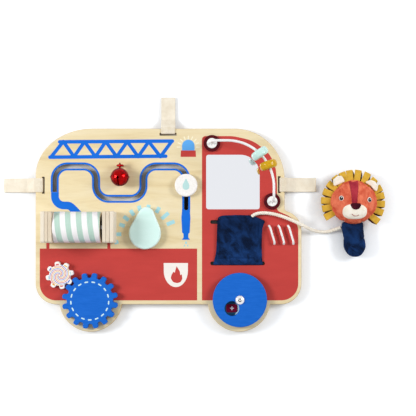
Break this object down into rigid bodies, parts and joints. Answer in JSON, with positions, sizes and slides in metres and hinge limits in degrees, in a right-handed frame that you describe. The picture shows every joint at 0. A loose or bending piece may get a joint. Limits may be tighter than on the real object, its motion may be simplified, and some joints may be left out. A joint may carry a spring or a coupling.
{
  "type": "baby busy board",
  "caption": "Vehicle-shaped wooden play board with bead arch, gears, roller, bell, mirror, sliding knob, turning discs, pocket, straps and a plush lion on a cord.",
  "frame": {"origin": "centre of the board's back face, which lies on the floor", "axes": "+X to the board's right along its length, +Y towards its top edge, +Z out of its face"},
  "size_m": [0.5433, 0.3335, 0.0682],
  "materials": {
    "plywood": "clear satin varnish over birch plywood",
    "turned_wood": "clear satin varnish",
    "cover_wood": "thin birch plywood, sanded",
    "white_paint": "white water-based paint on wood",
    "blue_paint": "blue water-based paint on wood",
    "mint_paint": "pale mint water-based paint on wood",
    "ochre_paint": "ochre paint on wood",
    "maroon_paint": "maroon paint on wood",
    "red_enamel": "glossy red enamel on a steel shell",
    "steel": "zinc-plated steel",
    "chrome": "bright nickel plating",
    "white_wire": "white powder coat on steel wire",
    "mirror": "mirrored acrylic",
    "white_plastic": "moulded",
    "webbing": "cream cotton webbing",
    "hook_and_loop": "sewn-on hook-and-loop tape",
    "elastic": "braided round elastic",
    "navy_velour": "short-pile velour",
    "coral_velour": "short-pile velour",
    "cream_fleece": "fleece",
    "ochre_felt": "needled felt",
    "braid": "round braided cotton cord"
  },
  "bodies": {
    "board": {"front_board": "plywood", "rear_cover": "cover_wood", "cover_screws": "steel", "mirror": "mirror", "strap_left": "webbing", "strap_right": "webbing", "strap_top": "webbing", "strap_patches": "hook_and_loop", "roller_bracket_left": "turned_wood", "roller_bracket_right": "turned_wood", "bracket_screws": "steel", "roller_axle": "steel", "bell_staple": "steel", "bead_wire": "white_wire", "wire_bases": "maroon_paint", "wire_caps": "white_plastic", "wire_nuts": "steel", "spacers": "white_plastic", "disc_bolt": "chrome", "disc_tee_nut": "steel", "elastic_cords": "elastic", "elastic_knots": "elastic", "pocket": "navy_velour", "pocket_bars": "turned_wood", "cord": "braid", "cord_knot": "braid"},
    "roller": {"striped_roller": "turned_wood"},
    "left_outer_plate": {"clack_left_outer": "turned_wood"},
    "left_inner_plate": {"clack_left_inner": "turned_wood"},
    "right_inner_plate": {"clack_right_inner": "turned_wood"},
    "right_outer_plate": {"clack_right_outer": "turned_wood"},
    "bell": {"bell_upper": "red_enamel", "bell_lower": "red_enamel", "bell_ball": "steel"},
    "mint_bead": {"bead_mint": "mint_paint"},
    "ochre_bead": {"bead_ochre": "ochre_paint"},
    "slider": {"slider_knob": "white_paint", "slider_stem": "turned_wood", "slider_tail": "turned_wood", "slider_screw": "steel"},
    "big_gear": {"large_gear": "blue_paint", "large_gear_dowel": "turned_wood", "large_gear_washer": "turned_wood", "large_gear_screw": "steel"},
    "little_gear": {"small_gear": "white_paint", "small_gear_dowel": "turned_wood", "small_gear_washer": "turned_wood", "small_gear_screw": "steel"},
    "disc": {"peep_disc": "blue_paint"},
    "drop": {"water_drop": "mint_paint", "drop_dowel": "turned_wood", "drop_washer": "turned_wood", "drop_screw": "steel"},
    "lion": {"lion_head": "coral_velour", "lion_mane": "ochre_felt", "lion_ears": "cream_fleece", "lion_muzzle": "cream_fleece", "lion_handle": "navy_velour"}
  },
  "joints": [
    {"name": "big_gear_spin", "type": "hinge", "parent": "board", "child": "big_gear", "pos_m": [-0.1106, -0.099, 0.0173], "axis": [0, 0, 1], "continuous": true},
    {"name": "little_gear_spin", "type": "hinge", "parent": "board", "child": "little_gear", "pos_m": [-0.15316, -0.06291, 0.0173], "axis": [0, 0, 1], "continuous": true},
    {"name": "disc_spin", "type": "hinge", "parent": "board", "child": "disc", "pos_m": [0.1009, -0.0978, 0.0173], "axis": [0, 0, 1], "continuous": true},
    {"name": "drop_spin", "type": "hinge", "parent": "board", "child": "drop", "pos_m": [-0.0331, -0.0036, 0.0173], "axis": [0, 0, 1], "continuous": true},
    {"name": "roller_spin", "type": "hinge", "parent": "board", "child": "roller", "pos_m": [-0.12545, 0.0047, 0.03595], "axis": [1, 0, 0], "continuous": true},
    {"name": "left_outer_rock", "type": "hinge", "parent": "board", "child": "left_outer_plate", "pos_m": [-0.16625, 0.0047, 0.03595], "axis": [1, 0, 0], "range_deg": [-5, 5]},
    {"name": "left_inner_rock", "type": "hinge", "parent": "board", "child": "left_inner_plate", "pos_m": [-0.1611, 0.0047, 0.03595], "axis": [1, 0, 0], "range_deg": [-5, 5]},
    {"name": "right_outer_rock", "type": "hinge", "parent": "board", "child": "right_outer_plate", "pos_m": [-0.08155, 0.0047, 0.03595], "axis": [1, 0, 0], "range_deg": [-5, 5]},
    {"name": "right_inner_slide", "type": "slide", "parent": "board", "child": "right_inner_plate", "axis": [-1, 0, 0], "range_m": [0, 0.003]},
    {"name": "bell_swing", "type": "hinge", "parent": "board", "child": "bell", "pos_m": [-0.068, 0.09189, 0.02276], "axis": [-1, 0, 0], "range_deg": [0, 70]},
    {"name": "mint_bead_travel", "type": "hinge", "parent": "board", "child": "mint_bead", "pos_m": [0.0828, 0.0598, 0.056], "axis": [0, 0, 1], "range_deg": [0, 36]},
    {"name": "ochre_bead_travel", "type": "hinge", "parent": "board", "child": "ochre_bead", "pos_m": [0.0828, 0.0598, 0.056], "axis": [0, 0, 1], "range_deg": [-21, 0]},
    {"name": "slider_travel", "type": "slide", "parent": "board", "child": "slider", "axis": [0, 1, 0], "range_m": [-0.031, 0.009]},
    {"name": "lion_lift", "type": "slide", "parent": "board", "child": "lion", "axis": [0, 0, 1], "range_m": [0, 0.08], "deforming": ["cord"]}
  ],
  "couplings": [
    {"joint": "little_gear_spin", "follows": "big_gear_spin", "ratio": -2}
  ]
}
